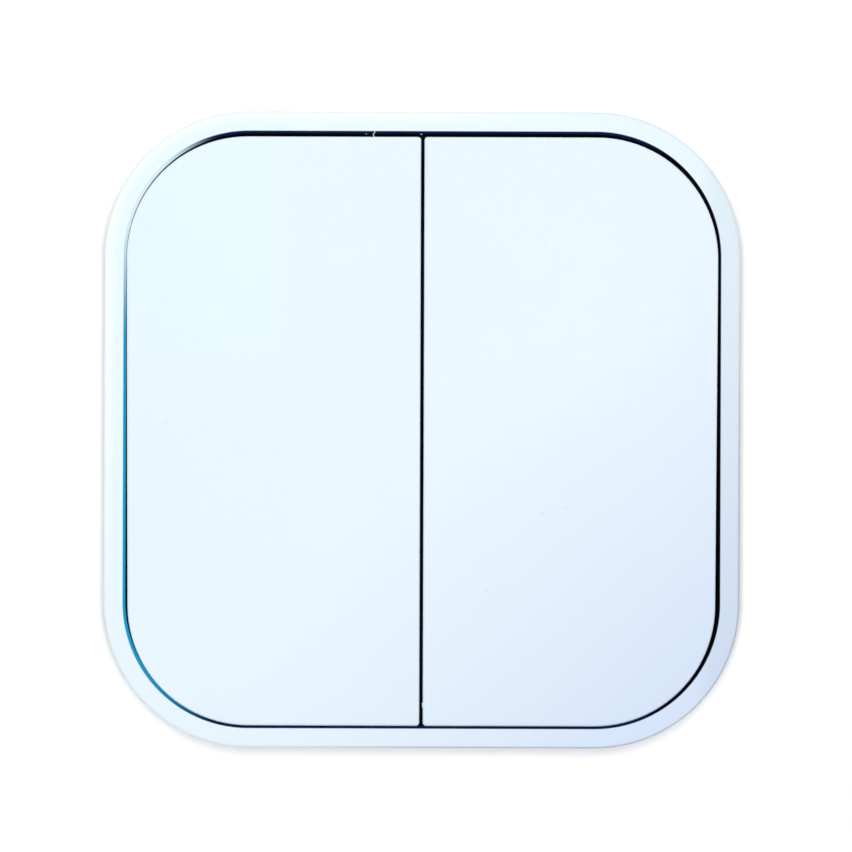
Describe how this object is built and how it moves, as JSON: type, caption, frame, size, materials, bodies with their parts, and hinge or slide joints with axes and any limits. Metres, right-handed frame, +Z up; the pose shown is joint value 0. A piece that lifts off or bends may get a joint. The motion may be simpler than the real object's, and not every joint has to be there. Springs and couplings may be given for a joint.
{
  "type": "double light switch",
  "caption": "Square flush double rocker light switch with a narrow rounded cover frame and two tall rockers side by side, for a recessed wall box.",
  "frame": {"origin": "middle between the two fixing slots, on the wall plane at the mounting plate's back face", "axes": "+Z up the wall, -Y out of the wall towards the viewer, +X to the viewer's right"},
  "size_m": [0.086, 0.0347, 0.086],
  "materials": {
    "panel_white": "polished moulded white",
    "cradle_white": "natural moulded",
    "tray_grey": "dark moulded, fine grain",
    "housing_grey": "moulded, fine grain",
    "zinc_plate": "bright zinc",
    "screw_steel": "bright zinc",
    "brass": "pressed strip",
    "copper": "pressed copper strip",
    "silver": "silver rivet"
  },
  "bodies": {
    "base": {"cover_frame": "panel_white", "support_frame": "tray_grey", "mounting_plate": "zinc_plate", "housing_base": "housing_grey", "terminal_screws": "screw_steel", "clamp_plates": "zinc_plate", "fixed_tips_left": "silver", "upper_contact_left": "brass", "lower_contact_left": "brass", "common_contact_left": "brass", "fixed_tips_right": "silver", "upper_contact_right": "brass", "lower_contact_right": "brass", "common_contact_right": "brass"},
    "rocker_body_left": {"rocker_left": "panel_white", "cradle_left": "cradle_white", "plunger_spring_left": "screw_steel"},
    "plunger_body_left": {"plunger_left": "cradle_white"},
    "bridge_body_left": {"contact_bridge_left": "copper", "moving_tips_left": "silver"},
    "rocker_body_right": {"rocker_right": "panel_white", "cradle_right": "cradle_white", "plunger_spring_right": "screw_steel"},
    "plunger_body_right": {"plunger_right": "cradle_white"},
    "bridge_body_right": {"contact_bridge_right": "copper", "moving_tips_right": "silver"}
  },
  "joints": [
    {"name": "rocker_tilt_left", "type": "hinge", "parent": "base", "child": "rocker_body_left", "pos_m": [-0.01265, -0.0022, 0], "axis": [-1, 0, 0], "range_deg": [0, 6]},
    {"name": "plunger_slide_left", "type": "slide", "parent": "rocker_body_left", "child": "plunger_body_left", "axis": [0, -0.9986, -0.0523], "range_m": [0, 0.001], "stiffness_N_per_m": 600, "springref_m": -0.0015, "deforming": ["plunger_spring_left"]},
    {"name": "bridge_tip_left", "type": "hinge", "parent": "base", "child": "bridge_body_left", "pos_m": [-0.01265, 0.0124, 0], "axis": [1, 0, 0], "range_deg": [0, 13]},
    {"name": "rocker_tilt_right", "type": "hinge", "parent": "base", "child": "rocker_body_right", "pos_m": [0.01265, -0.0022, 0], "axis": [-1, 0, 0], "range_deg": [0, 6]},
    {"name": "plunger_slide_right", "type": "slide", "parent": "rocker_body_right", "child": "plunger_body_right", "axis": [0, -0.9986, -0.0523], "range_m": [0, 0.001], "stiffness_N_per_m": 600, "springref_m": -0.0015, "deforming": ["plunger_spring_right"]},
    {"name": "bridge_tip_right", "type": "hinge", "parent": "base", "child": "bridge_body_right", "pos_m": [0.01265, 0.0124, 0], "axis": [1, 0, 0], "range_deg": [0, 13]}
  ],
  "couplings": [
    {"joint": "bridge_tip_left", "follows": "rocker_tilt_left", "ratio": 2.1667},
    {"joint": "bridge_tip_right", "follows": "rocker_tilt_right", "ratio": 2.1667}
  ]
}
